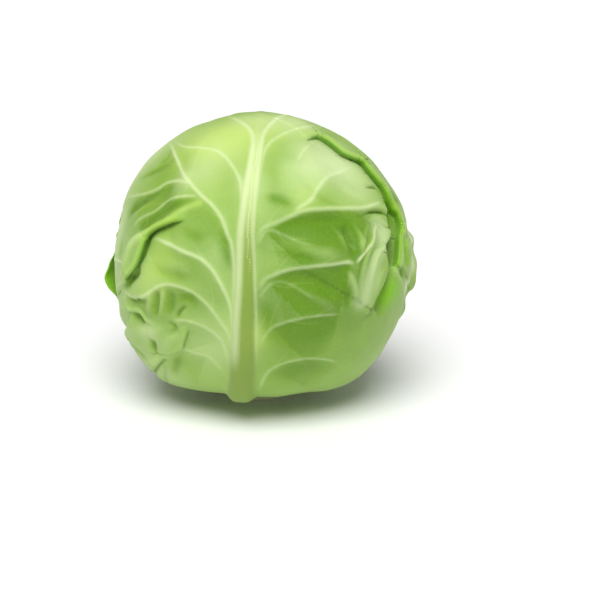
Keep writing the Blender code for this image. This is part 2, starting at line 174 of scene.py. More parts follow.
ball = {
    "radius": 87.4 * mm,
    "squash": 1.8 * mm,
    "flattening": 8 * mm,
    "flatFrom": 12,
    "flatTo": 50,
    "bulges": [(-78, -44, 6, 24), (70, -40, 3, 28), (-118, 50, 3.6, 26)],  # azimuth, height, mm, degrees
    "stepWidth": 8,
    "edgeClearance": 2.5,
    "layer": 1.2 * mm,
    "gap": 0.95 * mm,
    "cadBase": 19.6 * mm,  # from the stalk's axis to where the frame's leaves start
    "leafBase": 17.4 * mm,  # and to where these do
}


def ballRadius(d):
    radius = ball["radius"] - ball["squash"] * d[:, 2] ** 2
    for azimuth, height, bulge, width in ball["bulges"]:
        radius = radius + bulge * mm * np.exp(-((degreesBetween(d, direction(azimuth, height)) / width) ** 2))
    fromStalk = np.degrees(np.arccos(np.clip(-d[:, 2], -1, 1)))
    return radius - ball["flattening"] * (1 - smoothStep(ball["flatFrom"], ball["flatTo"], fromStalk))


# ---- leaves


class Leaf:
    # reach holds (degrees round from the tip by the right, degrees from the leaf's middle to its edge),
    # waves (count, degrees, shift) along that edge, flares (degrees round, degrees across, mm out, mm in)

    def __init__(self, name, node, azimuth, height, reach, waves, seed, **shape):
        self.name, self.node, self.reach, self.waves, self.seed = name, node, reach, waves, seed
        self.azimuth = azimuth
        self.centre = direction(azimuth, height)
        self.up = direction(azimuth, height + 90)
        self.right = np.cross(self.up, self.centre)
        seatRadius = ball["radius"] - ball["flattening"]
        self.cadBase = 90 + height - math.degrees(math.asin(ball["cadBase"] / seatRadius))
        self.base = 90 + height - math.degrees(math.asin(ball["leafBase"] / seatRadius))
        self.raised = shape.get("raised", 0) * mm
        self.pleats = shape.get("pleats", [])
        self.creases = shape.get("creases", [])
        self.flares = shape.get("flares", [])
        self.ruffles = shape.get("ruffles", [])
        self.detail = shape.get("detail", 1.6)
        self.midrib = smoothPath(shape.get("midrib", self.plainMidrib()), 30)
        self.ribs = shape.get("ribs") or self.plainRibs()
        self.veins = self.sideVeins()

    def at(self, turn, reach):
        turn, reach = np.radians(turn), np.radians(reach)
        sideways = np.cos(turn)[..., None] * self.up + np.sin(turn)[..., None] * self.right
        return np.cos(reach)[..., None] * self.centre + np.sin(reach)[..., None] * sideways

    def polar(self, d):
        return np.degrees(np.arctan2(d @ self.right, d @ self.up)), degreesBetween(d, self.centre)

    def edge(self, turn, base=None):
        turn = (turn + 180) % 360 - 180
        awayFromStalk = smoothStep(180, 130, np.abs(turn))
        edge = roundCurve(self.reach, turn)
        for count, size, shift in self.waves:
            edge = edge + awayFromStalk * size * np.sin(np.radians(count * turn + shift))
        return np.minimum(edge, (base or self.cadBase) + 60 * awayFromStalk)

    def cover(self, d):
        turn, reach = self.polar(d)
        return 1 - smoothStep(0, ball["stepWidth"], reach - self.edge(turn) - ball["edgeClearance"])

    def plainMidrib(self):
        lengths = np.linspace(1, -1, 7)
        turn = np.where(lengths > 0, 180.0, 0.0)
        return self.at(turn, np.abs(lengths) * np.where(lengths > 0, self.cadBase, 0.94 * self.edge(turn)))

    def plainRibs(self, count=6):
        # side ribs leave the midrib nearly along it and bend out to the edge
        random = np.random.RandomState(self.seed)
        tip = float(self.edge(0.0))
        ribs = []
        for side in (-1, 1):
            for i in range(count):
                part = (i + random.uniform(-0.2, 0.2)) / (count - 1)
                turn = side * (138 - 112 * part)
                reach = 0.95 * self.edge(np.array(turn))
                end = reach * np.array([math.sin(math.radians(turn)), math.cos(math.radians(turn))])
                start = np.array([0, -0.9 * self.cadBase + part * (0.85 * self.cadBase + 0.45 * tip)])
                bend = np.array([0.3 * end[0], start[1] + 0.55 * max(end[1] - start[1], 14)])
                t = np.linspace(0, 1, 12)[:, None]
                flat = (1 - t) ** 2 * start + 2 * t * (1 - t) * bend + t**2 * end
                turns, reaches = np.degrees(np.arctan2(flat[:, 0], flat[:, 1])), np.hypot(*flat.T)
                ribs.append({"group": 1 + i % 2, "side": side, "path": self.at(turns, reaches), "dip": 1.5,
                             "strength": (0.4, 0.4), "width": (1.3, 0.7)})
        return ribs

    def flat(self, d):
        # the leaf's own map, in degrees right of its middle and towards its tip
        turn, reach = (np.radians(v) for v in self.polar(d))
        return np.degrees(np.stack([reach * np.sin(turn), reach * np.cos(turn)], axis=-1))

    def fromFlat(self, places):
        right, up = places[..., 0], places[..., 1]
        return self.at(np.degrees(np.arctan2(right, up)), np.hypot(right, up))

    def sideVeins(self):
        # fine veins leave the side ribs by turns and bend towards the leaf's edge
        random = np.random.RandomState(self.seed + 100)
        made = []
        for rib in self.ribs:
            flat = self.flat(smoothPath(rib["path"], 60))
            length = np.r_[0, np.cumsum(np.linalg.norm(np.diff(flat, axis=0), axis=1))]
            place, turnSide = random.uniform(7, 11), random.choice([-1, 1])
            while place < length[-1] - 4:
                i = min(np.searchsorted(length, place), 58)
                run = flat[i + 1] - flat[i]
                heading = math.atan2(run[1], run[0]) + turnSide * math.radians(random.uniform(28, 46))
                reach = random.uniform(9, 18) * (1 - 0.4 * place / length[-1])
                t = np.linspace(0, 1, 9)
                bend = heading - turnSide * 0.5 * t + random.uniform(-0.25, 0.25) * np.sin(5 * t)
                steps = reach / 8 * np.stack([np.cos(bend), np.sin(bend)], axis=1)
                made.append(self.fromFlat(flat[i] + np.cumsum(steps, axis=0) - steps[0]))
                place += random.uniform(6, 11)
                turnSide = -turnSide
        return made


def pleat(points, side, **sizes):
    # one side of the leaf slides over the other; side 1 means the left of the path lies on top
    return {"path": smoothPath(fromPicture(points), 70), "side": side, **sizes}


def crease(points, height, width):
    # a ridge, or a valley where the height is below 0, both in mm
    return {"path": smoothPath(fromPicture(points), 24), "height": height, "width": width}


def rib(group, side, points, dip=1.0, strength=(0.7, 0.3), width=(1.2, 0.6)):
    # a side rib: strength and width in mm at its start and end; the leaf dips in on its lower side.
    # Ribs of one group keep clear of each other, so that a finish can tell the nearest one
    path = smoothPath(fromPicture(points), 34)
    return {"group": group, "side": side, "path": path, "dip": dip, "strength": strength, "width": width}


# the outermost leaf in front; its places are pixels in the picture
frontLeaf = {
    "midrib": [(241, 398), (243, 364), (244, 328), (245, 300), (246, 262), (247, 232), (249, 205), (252, 180),
               (256, 150), (259, 133), (261, 116)],
    "ribs": [
        (0, -1, [(235, 372), (236, 352), (237, 320), (239, 290), (240, 262), (241, 233), (243, 211),
            (248, 174), (253, 145), (252, 134), (247, 127), (235, 121), (225, 119)], 0.3, (0.6, 0.6),
            (2.4, 1.1)),
        (0, 1, [(257, 372), (256, 352), (256, 320), (255, 290), (254, 262), (253, 233), (256, 196),
            (259, 167), (263, 137), (269, 127), (281, 120), (292, 118)], 0.3, (0.1, 0.8), (0.9, 1.4)),
        (1, -1, [(238, 300), (239.5, 262), (241, 225), (242, 196), (240, 181), (234, 168), (225, 156),
            (215, 150), (202, 148), (184, 147), (172, 144)], 0.8, (0.35, 0.45), (1.2, 0.8)),
        (2, -1, [(233, 330), (235, 300), (235, 268), (232, 245), (228, 235), (222, 219), (213, 206),
            (202, 196), (191, 184), (182, 171), (177, 159), (173, 148), (168, 143)], 0.8, (0.3, 0.65),
            (1.3, 0.9)),
        (1, -1, [(192, 185), (182, 181), (169, 181), (155, 189), (140, 195), (127, 200)], 1.2, (0.45, 0.3),
            (1, 0.7)),
        (3, -1, [(200, 197), (184, 196), (169, 199), (155, 209), (140, 218), (133, 228)], 1.0, (0.4, 0.2),
            (0.9, 0.6)),
        (1, -1, [(234, 345), (233, 320), (230, 303), (223, 287), (212, 269), (200, 258), (185, 252),
            (165, 245), (150, 239)], 0.9, (0.25, 0.65), (1.2, 1.1)),
        (2, -1, [(232, 352), (228, 333), (217, 316), (205, 302), (189, 290), (171, 285), (159, 287),
            (147, 296), (139, 298), (131, 294), (122, 289)], 1.2, (0.2, 0.6), (1.2, 0.8)),
        (1, -1, [(229, 366), (224, 345), (214, 333), (200, 325), (185, 321), (170, 321)], 0.8, (0.2, 0.3),
            (1.3, 0.8)),
        (2, -1, [(226, 374), (210, 358), (195, 354), (180, 353), (163, 355)], 0.7, (0.2, 0.25), (1.3, 0.8)),
        (2, -1, [(110, 259), (117, 260), (125, 263)], 0.2, (0.4, 0.5), (0.9, 0.7)),
        (1, 1, [(257, 195), (260, 170), (264, 152), (270, 143), (276, 138), (288, 133), (304, 130),
            (320, 130)], 0.7, (0.35, 0.35), (1.2, 0.8)),
        (2, 1, [(298, 161), (302, 153), (309, 147), (318, 143)], 0.4, (0.3, 0.15), (0.9, 0.6)),
        (1, 1, [(256, 246), (262, 230), (275, 224), (290, 217), (301, 212), (313, 210), (336, 209),
            (359, 209), (372, 206), (378, 204)], 2.2, (0.15, 0.6), (1.4, 0.9)),
        (2, 1, [(292, 214), (303, 206), (311, 200), (316, 191), (323, 182), (330, 177), (340, 174),
            (352, 171)], 1.0, (0.4, 0.5), (1.3, 0.8)),
        (1, 1, [(257, 295), (264, 280), (275, 274), (290, 269), (313, 266), (330, 264), (345, 262),
            (353, 264)], 1.8, (0.15, 0.6), (1.2, 0.9)),
        (2, 1, [(352, 264), (358, 256), (364, 247), (368, 238), (370, 228), (374, 221)], 0, (0.75, 0.45),
            (0.9, 0.7)),
        (1, 1, [(257, 348), (268, 331), (280, 323), (300, 317), (320, 314), (342, 313)], 1.3, (0.15, 0.3),
            (1.2, 0.8)),
        (1, 1, [(258, 392), (268, 372), (290, 360), (315, 357), (340, 360)], 1.0, (0.25, 0.25), (1.3, 0.8)),
        (2, 1, [(257, 246), (264, 233), (272, 231), (285, 236), (300, 243), (318, 247)], 0.3, (0.2, 0.1),
            (1.1, 0.8)),
        (2, 1, [(257, 300), (270, 284), (284, 282), (300, 290), (316, 300)], 0.3, (0.15, 0.1), (1.1, 0.8)),
    ],
    # the last setting of each pleat is how much painted shade and painted highlight its rolled lip gets
    "pleats": [
        pleat([(297, 144), (303, 142), (309, 142), (317, 139), (323, 142), (333, 150), (341, 157), (350, 162),
               (358, 166), (364, 174), (371, 183), (377, 191), (382, 201), (387, 210), (391, 219), (393, 228),
               (392, 237), (392, 246), (391, 258), (390, 264)],
              1, lift=3.4, dip=2.2, slide=4.2, wall=1.6, lip=0.3, tint=1),
        pleat([(189, 222), (182, 223), (172, 224), (162, 227), (155, 230), (149, 235), (146, 241), (143, 252),
               (140, 262), (136, 270), (129, 278)], -1, lift=3.0, dip=2.4, slide=3.6, wall=1.4, lip=0.3, tint=0.8),
        pleat([(382, 222), (385, 230), (383, 238), (379, 246), (381, 257), (382, 268), (378, 281), (372, 293),
               (366, 306)], -1, lift=2.4, dip=1.4, slide=2.4, wall=1.2, lip=0.2, tint=0.1),
        pleat([(124, 300), (128, 306), (131, 313), (131, 321), (129, 331), (130, 340)],
              1, lift=1.5, dip=2.2, slide=2.4, wall=1.3, lip=0.3, tint=0.3),
        pleat([(191, 327), (187, 334), (184, 342), (182, 350), (177, 353), (168, 354), (158, 352)],
              -1, lift=1.0, dip=1.4, slide=1.6, wall=1.1, lip=0.2, tint=0.2),
    ],
    "dents": [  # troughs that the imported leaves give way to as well: places, depth and half width in mm
        ([(382, 196), (386, 206), (387, 224), (387, 236), (386, 248), (386, 262), (386, 276), (382, 290), (377, 306)],
         4.6, 4.2),
        ([(397, 236), (398, 250), (399, 262)], 2.6, 2.6),
    ],
    "creases": [  # places, height and width in mm
        # upper left, bands that fan out to the left
        ([(176, 184), (160, 190), (144, 200), (133, 208), (124, 220)], -2.4, 2.8),
        ([(160, 196), (148, 203), (137, 212), (128, 226)], 0.8, 1.5),
        ([(202, 200), (180, 202), (166, 207), (152, 217), (141, 226), (129, 240)], -2.0, 2.4),
        ([(206, 202), (186, 208), (167, 218), (153, 225), (140, 235), (131, 245), (127, 261), (121, 277),
            (115, 288)], 1.5, 2.0),
        ([(184, 219), (164, 223), (151, 229), (142, 238), (136, 252)], -0.8, 1.4),
        ([(180, 156), (162, 167), (150, 174), (136, 186)], -1.3, 2.4),
        ([(174, 148), (167, 158), (158, 165)], -0.9, 1.6),
        ([(190, 146), (184, 160), (188, 176)], -0.5, 5),
        ([(124, 236), (120, 248), (121, 260)], -1.0, 2.8),
        ([(118, 218), (114, 240), (112, 258)], 0.7, 3),
        # left, where the pleat runs out, and the puckers under it
        ([(144, 270), (134, 281), (123, 288)], -2.6, 2.4),
        ([(152, 234), (147, 244), (144, 256), (138, 270)], -1.8, 2.0),
        ([(131, 278), (122, 284), (114, 292)], 1.2, 1.4),
        ([(114, 290), (119, 302)], -1.8, 1.2),
        ([(122, 288), (118, 298)], -1.3, 0.9),
        ([(120, 291), (131, 307), (140, 311), (146, 320), (160, 328)], 1.5, 1.5),
        ([(126, 295), (139, 301), (150, 302)], -1.6, 2.0),
        ([(133, 311), (141, 320), (145, 327)], -1.9, 2.4),
        ([(150, 291), (149, 304), (148, 319)], 1.0, 1.3),
        ([(156, 288), (156, 303), (155, 320)], -2.0, 2.1),
        ([(164, 284), (161, 302), (158, 322)], 1.3, 1.4),
        ([(171, 288), (170, 304), (167, 318)], -1.3, 2.6),
        ([(188, 304), (180, 312), (175, 322)], -1.6, 1.4),
        ([(190, 300), (184, 307), (178, 317)], 0.5, 2.4),
        ([(176, 299), (188, 297), (202, 300)], -0.7, 4),
        ([(165, 322), (174, 328), (166, 337)], -1.4, 2.0),
        ([(176, 324), (170, 338), (163, 352)], 0.7, 3.0),
        ([(154, 336), (156, 352)], -2.6, 2.6),
        ([(132, 331), (150, 331), (168, 328)], 0.8, 3.0),
        ([(132, 345), (143, 348), (154, 358)], -1.0, 3.0),
        ([(126, 308), (125, 322), (128, 338)], -0.6, 1.8),
        ([(120, 298), (122, 318), (128, 336)], 1.2, 2.6),
        ([(148, 358), (162, 358), (182, 357)], 0.9, 2.4),
        ([(170, 361), (163, 362), (159, 369), (156, 383)], -2.0, 1.4),
        ([(168, 360), (170, 380)], -0.9, 1.8),
        ([(180, 357), (175, 376)], -1.4, 3.0),
        ([(148, 260), (160, 272), (178, 276), (204, 282)], -0.8, 3.6),
        ([(160, 262), (178, 266), (196, 272)], 0.5, 3.4),
        ([(221, 224), (226, 250), (231, 276)], -0.8, 3.4),
        ([(206, 232), (214, 252), (222, 272)], 0.4, 4),
        ([(176, 228), (192, 236), (208, 244)], -0.6, 4),
        # right, under the side ribs
        ([(262, 196), (280, 199), (300, 209)], -1.1, 3.8),
        ([(284, 226), (312, 222), (332, 222), (344, 230)], -2.0, 4.2),
        ([(342, 222), (347, 238), (353, 257)], -3.4, 2.6),
        ([(331, 220), (339, 236), (349, 258)], 1.2, 1.5),
        ([(353, 222), (358, 240), (357, 258)], 1.3, 1.5),
        ([(280, 236), (305, 249), (326, 254), (346, 256)], 1.0, 4),
        ([(270, 250), (295, 257), (322, 260)], -0.7, 2.6),
        ([(284, 275), (312, 280), (326, 287), (338, 300)], -2.3, 4.8),
        ([(276, 283), (304, 292), (324, 302), (338, 316)], 1.1, 3),
        ([(338, 264), (349, 280), (353, 306)], 1.5, 1.9),
        ([(344, 282), (346, 310)], -1.4, 2.4),
        ([(373, 228), (366, 247), (361, 262), (357, 280), (355, 304)], 0.5, 1.0),
        ([(363, 246), (357, 268), (351, 290)], -0.7, 1.2),
        ([(382, 234), (374, 250), (369, 265), (363, 286)], 0.7, 1.1),
        ([(372, 243), (366, 258), (362, 276)], -0.8, 1.2),
        ([(380, 262), (372, 277), (365, 298)], 0.6, 1.2),
        ([(366, 220), (361, 236), (358, 252)], 0.7, 1.0),
        ([(262, 296), (268, 320), (266, 350)], -0.9, 4),
        ([(296, 176), (316, 194), (332, 206)], -0.5, 3),
        ([(336, 182), (352, 195), (370, 203)], 0.6, 3),
        ([(280, 158), (300, 166), (334, 164)], 0.5, 6),
        ([(270, 160), (276, 176), (272, 192)], -0.5, 4),
        ([(326, 133), (348, 148), (366, 168)], 0.8, 2.2),
        ([(344, 146), (362, 160), (378, 182)], -0.7, 1.8),
        ([(310, 128), (326, 136), (340, 148)], -0.5, 2),
        ([(360, 190), (367, 190), (373, 192), (380, 200)], -2.0, 1.0),
        ([(359, 221), (366, 214), (371, 213), (377, 214), (383, 218), (390, 227)], -2.6, 1.1),
        ([(362, 214), (370, 209), (379, 210), (388, 219)], 0.7, 1.6),
        ([(365, 226), (373, 219), (381, 224), (385, 232)], 0.8, 1.6),
        # the ruffled margin beyond the trough
        ([(397, 214), (396, 232), (399, 245), (402, 258), (399, 272)], 1.2, 1.3),
        ([(398, 243), (405, 242), (414, 240)], 1.6, 1.3),
        ([(400, 247), (407, 249), (415, 247)], -1.4, 1.4),
        ([(390, 260), (391, 274), (398, 288)], 1.2, 1.4),
        ([(394, 266), (397, 278)], -1.2, 1.4),
        ([(408, 246), (410, 262), (406, 276)], 1.0, 2.4),
        ([(412, 272), (402, 282)], -1.6, 2.0),
        ([(400, 200), (404, 220), (408, 238)], -0.8, 2.4),
    ],
}


overCrown = direction(np.array([178, 176]), np.array([72, 60]))  # where its midrib goes on, out of view

leaves = [  # from the innermost out
    Leaf("underLeafLeft", "under_leaf_left", -62, 6,
         [(0, 92), (90, 84), (-90, 86), (135, 82), (-135, 82), (180, 82)],
         [(7, 1.6, 40), (11, 0.8, 10)], 11, detail=2.2),
    Leaf("underLeafBack", "under_leaf_back", 178, 6,
         [(0, 104), (90, 82), (-90, 84), (135, 80), (-135, 80), (180, 82)],
         [(6, 1.8, 0), (13, 0.9, 70)], 12, raised=1.2, detail=2.0),
    Leaf("underLeafRight", "under_leaf_right", 58, 6,
         [(0, 96), (90, 84), (-90, 82), (135, 82), (-135, 80), (180, 82)],
         [(7, 1.5, 90), (12, 0.8, 0)], 13, detail=2.2),
    Leaf("rightLeaf", "wrapper_leaf_right", 124, 2,
         [(0, 84), (45, 82), (90, 76), (120, 78), (150, 83), (180, 82),
          (-150, 83), (-120, 76), (-90, 74), (-45, 80)],
         [(8, 1.8, 30), (15, 0.9, 0)], 14, raised=1.6, detail=1.35,
         flares=[(-20, 40, 2.5, 14), (62, 34, 3, 14), (120, 30, 2, 12)],
         ruffles=[(0, 70, 1.2, 10, 26), (90, 60, 1.2, 9, 31)]),
    Leaf("frontLeaf", "wrapper_leaf_front", -6, 5,
         [(0, 122), (30, 113), (60, 104), (85, 96), (100, 92), (120, 90), (150, 86), (180, 82),
          (-150, 86), (-120, 94), (-90, 99), (-60, 104), (-30, 113)],
         [(9, 1.4, 20), (17, 1.0, 50)], 15, raised=4.4, detail=1.45,
         midrib=np.concatenate([fromPicture(frontLeaf["midrib"]), overCrown]),
         ribs=[rib(*row) for row in frontLeaf["ribs"]], pleats=frontLeaf["pleats"],
         creases=[crease(*row) for row in frontLeaf["creases"]],
         flares=[(98, 16, 4, 15), (84, 9, 3, 12), (-60, 30, 2, 12), (20, 40, 2, 14)],
         ruffles=[(95, 15, 1.4, 12, 24), (0, 80, 1.2, 9, 27)]),
    Leaf("leftLeaf", "wrapper_leaf_left", 216, 1,
         [(0, 63), (22, 53), (45, 47), (65, 48), (90, 53), (98, 55), (120, 60), (150, 78), (180, 82),
          (-45, 74), (-75, 70), (-90, 69), (-120, 74), (-150, 80)],
         [(11, 1.2, 60), (17, 0.8, 0)], 16, raised=2, detail=1.35,
         flares=[(98, 8, 7, 16), (55, 30, 0.6, 12), (-70, 50, 2.5, 14)],
         ruffles=[(-70, 60, 1.3, 10, 28), (40, 60, 0.7, 9, 33)]),
]

ribSizes = {
    # share of the midrib's length, half its width and its height in mm
    "midrib": [(0, 9, 4.2), (0.12, 7.4, 2.7), (0.35, 5.2, 1.5), (0.5, 4.4, 1.1), (0.72, 3.4, 0.4),
               (1, 1.6, 0.15)],
    "coveredMidrib": 0.2,
    "ribHeight": 0.7,
    "dipWidth": 8,
    "veinHeight": 0.12,
    "veinWidth": 0.9,
}
sink = 1.4  # mm that the leaves under the outermost ones give way, which leaves room for their relief


def pressed(k, d):
    # 1 where a leaf further out covers leaf k
    covers = [leaf.cover(d) for leaf in leaves[k + 1 :]]
    return np.max(covers, axis=0) if covers else np.zeros(len(d))


def midribPlace(leaf, d):
    # across the midrib from -1 to 1, share of its length, and its height in mm
    gap, along, _ = nearPath(d, leaf.midrib)
    shares, widths, heights = zip(*ribSizes["midrib"])
    return gap / np.interp(along, shares, widths), along, np.interp(along, shares, heights)


def midribHeight(leaf, d):
    across, _, height = midribPlace(leaf, d)
    return height * mm * smoothStep(1.15, 0.35, np.abs(across))


def leafStep(k, d):
    leaf = leaves[k]
    rib = midribHeight(leaf, d) * (1 - (1 - ribSizes["coveredMidrib"]) * pressed(k, d))
    return leaf.cover(d) * (ball["layer"] + ball["gap"] + rib)


def heartRadius(d):
    whole = sum(leaf.cover(d) for leaf in leaves) * (ball["layer"] + ball["gap"])
    return ballRadius(d) - 0.6 * whole - (2.6 + sink) * mm


dents = [(smoothPath(fromPicture(places), 24), depth, width) for places, depth, width in frontLeaf["dents"]]


def dented(d):
    depths = np.zeros(len(d))
    for path, depth, width in dents:
        gap, along, _ = nearPath(d, path)
        depths += depth * smoothStep(0, 0.3, along) * np.exp(-((gap / width) ** 4))
    return depths * mm


def seat(k, d):
    # what leaf k lies on
    return heartRadius(d) - dented(d) + sum(leafStep(j, d) for j in range(k))


def ribField(leaf, d):
    # relief of the side ribs in mm, and for the nearest rib of each group: place across it, its strength
    relief, groups = np.zeros(len(d)), {}
    for rib in leaf.ribs:
        gap, along, _ = nearPath(d, rib["path"])
        distance = np.abs(gap)
        width = rib["width"][0] + (rib["width"][1] - rib["width"][0]) * along
        shown = rib["strength"][0] + (rib["strength"][1] - rib["strength"][0]) * along
        shown *= smoothStep(0, 0.12, along) * smoothStep(1, 0.85, along)
        ridge = shown * ribSizes["ribHeight"] * np.exp(-((distance / (0.5 + 1.2 * width)) ** 2))
        share = distance / ribSizes["dipWidth"]
        dip = share * np.exp(1 - share) * (gap * rib["side"] < 0)
        relief += ridge - rib["dip"] * dip * smoothStep(0.02, 0.4, along) * smoothStep(1.0, 0.8, along)
        place = np.clip(gap / width, -9, 9)
        across, strength = groups.get(rib["group"], (np.full(len(d), 9.0), np.zeros(len(d))))
        nearer = np.abs(place) < np.abs(across)
        groups[rib["group"]] = np.where(nearer, place, across), np.where(nearer, shown, strength)
    return relief, groups


def veinField(leaf, d):
    # signed distance across the nearest fine vein in mm, and how near its root that is
    paths = [smoothPath(path, 37) for path in leaf.veins]
    points = np.concatenate(paths)
    leftward = np.concatenate([unit(np.cross(path, np.gradient(path, axis=0))) for path in paths])
    tree = KDTree(len(points))
    for i, point in enumerate(points):
        tree.insert(point, i)
    tree.balance()
    nearest = np.array([tree.find(point)[1:] for point in d])
    index, gap = nearest[:, 0].astype(int), nearest[:, 1] * ball["radius"] / mm
    side = np.where((leftward[index] * d).sum(-1) >= 0, 1.0, -1.0)
    return side * gap, 1 - (index % 37) / 36


def pleatMoves(leaf, d):
    out, slide = np.zeros(len(d)), np.zeros((len(d), 3))
    fold, paintedLipHighlight = np.zeros(len(d)), np.zeros(len(d))
    for pleat in leaf.pleats:
        gap, along, leftward = nearPath(d, pleat["path"])
        over, wall = gap * pleat["side"] - 0.4 * pleat["slide"], pleat["wall"]
        size = smoothStep(0, 0.25, along) * np.where(along >= 1, np.exp(-np.abs(gap) / 5), 1)
        top = 0.5 + 0.5 * np.tanh(over / wall)
        out += size * pleat["lift"] * top * np.exp(-np.abs(gap) / 26)
        out += size * pleat["lip"] * np.exp(-(((over - 1.6 * wall) / (1.5 * wall)) ** 2))
        out -= size * pleat["dip"] * (1 - top) * np.exp(-((gap / 6) ** 2))
        push = size * pleat["slide"] * np.tanh(over / wall) * np.exp(-np.abs(gap) / 14)
        slide -= (push * pleat["side"])[:, None] * leftward
        # painted shade on the rolled lip's underside and a painted highlight along its crest
        fold = np.maximum(fold, size * pleat["tint"] * np.exp(-(((over - 0.3 * wall) / (1.2 * wall)) ** 2)))
        paintedLipHighlight = np.maximum(paintedLipHighlight, size * pleat["tint"] * np.exp(-(((over - 2.2 * wall) / (1.1 * wall)) ** 2)))
    return out, slide * mm, fold, paintedLipHighlight


def creaseRelief(leaf, d):
    out = np.zeros(len(d))
    for crease in leaf.creases:
        gap, along, _ = nearPath(d, crease["path"])
        ends = smoothStep(0, 0.4, along) * smoothStep(1, 0.6, along)
        out += crease["height"] * ends * np.exp(-((gap / crease["width"]) ** 2))
    return out


def edgeLift(leaf, turn, inside):
    # how far the edge stands off the head, in mm: flares, with ruffles on them
    out = np.zeros(len(turn))
    for middle, width, height, length in leaf.flares:
        away = (turn - middle + 180) % 360 - 180
        out += height * np.clip(1 - inside / length, 0, 1.2) ** 2 * np.exp(-((away / width) ** 2))
    for middle, width, height, length, count in leaf.ruffles:
        away = (turn - middle + 180) % 360 - 180
        wave = np.sin(np.radians(turn * count)) + 0.6 * np.sin(np.radians(turn * count * 1.7 + 40))
        nearEdge = np.clip(1 - inside / length, 0, 1.2) ** 1.5
        out += height * (0.7 + wave) * nearEdge * np.exp(-((away / width) ** 2))
    return out


def leafSurface(k, d):
    # middle of leaf k at directions d, its thickness there, and what its finish needs
    leaf = leaves[k]
    free = 1 - pressed(k, d)
    turn, reach = leaf.polar(d)
    inside = np.radians(leaf.edge(turn) - reach) * ball["radius"] / mm
    across, along, height = midribPlace(leaf, d)
    rib = height * mm * smoothStep(1.15, 0.35, np.abs(across))
    rib *= ribSizes["coveredMidrib"] + (1 - ribSizes["coveredMidrib"]) * free
    ribRelief, ribGroups = ribField(leaf, d)
    veinAcross, veinStrength = veinField(leaf, d)
    pleatOut, slide, fold, paintedLipHighlight = pleatMoves(leaf, d)
    creases = creaseRelief(leaf, d)
    relief = ribRelief + pleatOut + creases
    relief += ribSizes["veinHeight"] * veinStrength * np.exp(-((veinAcross / ribSizes["veinWidth"]) ** 2))
    rough = leafRoughness(leaf, d)
    relief += (0.3 + 0.7 * rough) * swells(d, leaf.seed + 5, 9)
    relief += (0.1 + 0.75 * rough) * swells(d, leaf.seed + 6, 4)
    fromStalk = smoothStep(12, 50, np.degrees(np.arccos(-d[:, 2])))
    inEdge = smoothStep(0, 21, inside)
    uneven = 0.5 + 0.5 * swells(d, leaf.seed, 26)
    room = sink if leaf.raised else 0
    loose = room + leaf.raised / mm * fromStalk * (0.25 + 0.75 * inEdge) * (0.55 + 0.45 * uneven)
    lift = loose + relief
    lift = 0.5 * (lift + np.sqrt(lift**2 + 0.3)) + edgeLift(leaf, turn, inside)
    thickness = (0.45 + 0.55 * smoothStep(0, 10, inside)) * ball["layer"] + rib
    radius = seat(k, d) + (ball["layer"] + rib) / 2 + free * lift * mm
    moved = unit(d + free[:, None] * slide / ball["radius"])
    finish = {
        "midribAcross": np.clip(across, -6, 6),
        "midribAlong": along,
        "veinAcross": np.clip(veinAcross, -9, 9),
        "veinNear": np.minimum(np.abs(veinAcross), 9),
        "veinStrength": veinStrength,
        "fold": fold * free,
        "paintedLipHighlight": paintedLipHighlight * free,
        # painted shade in the valleys and painted light on the ridges, from the creases and ribs
        "paintedReliefShading": np.clip((creases + ribRelief) / 2.2, -1, 1) * free,
    }
    for group in range(4):
        across, strength = ribGroups.get(group, (np.full(len(d), 9.0), np.zeros(len(d))))
        finish[f"rib{group}Across"], finish[f"rib{group}Near"] = across, np.abs(across)
        finish[f"rib{group}Strength"] = strength
    return ballPlace["centre"] + moved * radius[:, None], thickness, finish


roughSpots = [((150, 311), 18, 0.4), ((160, 350), 16, 0.45), ((366, 270), 14, 0.2)]  # place, size in mm, amount


def leafRoughness(leaf, d):
    # where the front leaf is puckered; the others are a little, all over
    if leaf.name != "frontLeaf":
        return np.full(len(d), 0.12)
    return sum(amount * spot(d, place, size) for place, size, amount in roughSpots)


def spot(d, place, size):
    away = np.linalg.norm(d - fromPicture([place])[0], axis=1) * ball["radius"] / mm
    return np.exp(-((away / size) ** 2))


def discTriangles(count):
    # a square grid bent to a disc, each quad cut along the diagonal that points at its middle
    line = np.linspace(-1, 1, count + 1)
    across, along = (grid.ravel() for grid in np.meshgrid(line, line))
    points = np.stack([across * np.sqrt(1 - along**2 / 2), along * np.sqrt(1 - across**2 / 2)], axis=1)
    rows, columns = (grid.ravel() for grid in np.meshgrid(*[np.arange(count)] * 2, indexing="ij"))
    a = rows * (count + 1) + columns
    b, c, e = a + 1, a + count + 2, a + count + 1
    inwards = ((rows < count / 2) == (columns < count / 2))[:, None]
    first = np.where(inwards, np.stack([a, b, c], 1), np.stack([a, b, e], 1))
    second = np.where(inwards, np.stack([a, c, e], 1), np.stack([b, c, e], 1))
    return points, np.concatenate([first, second])


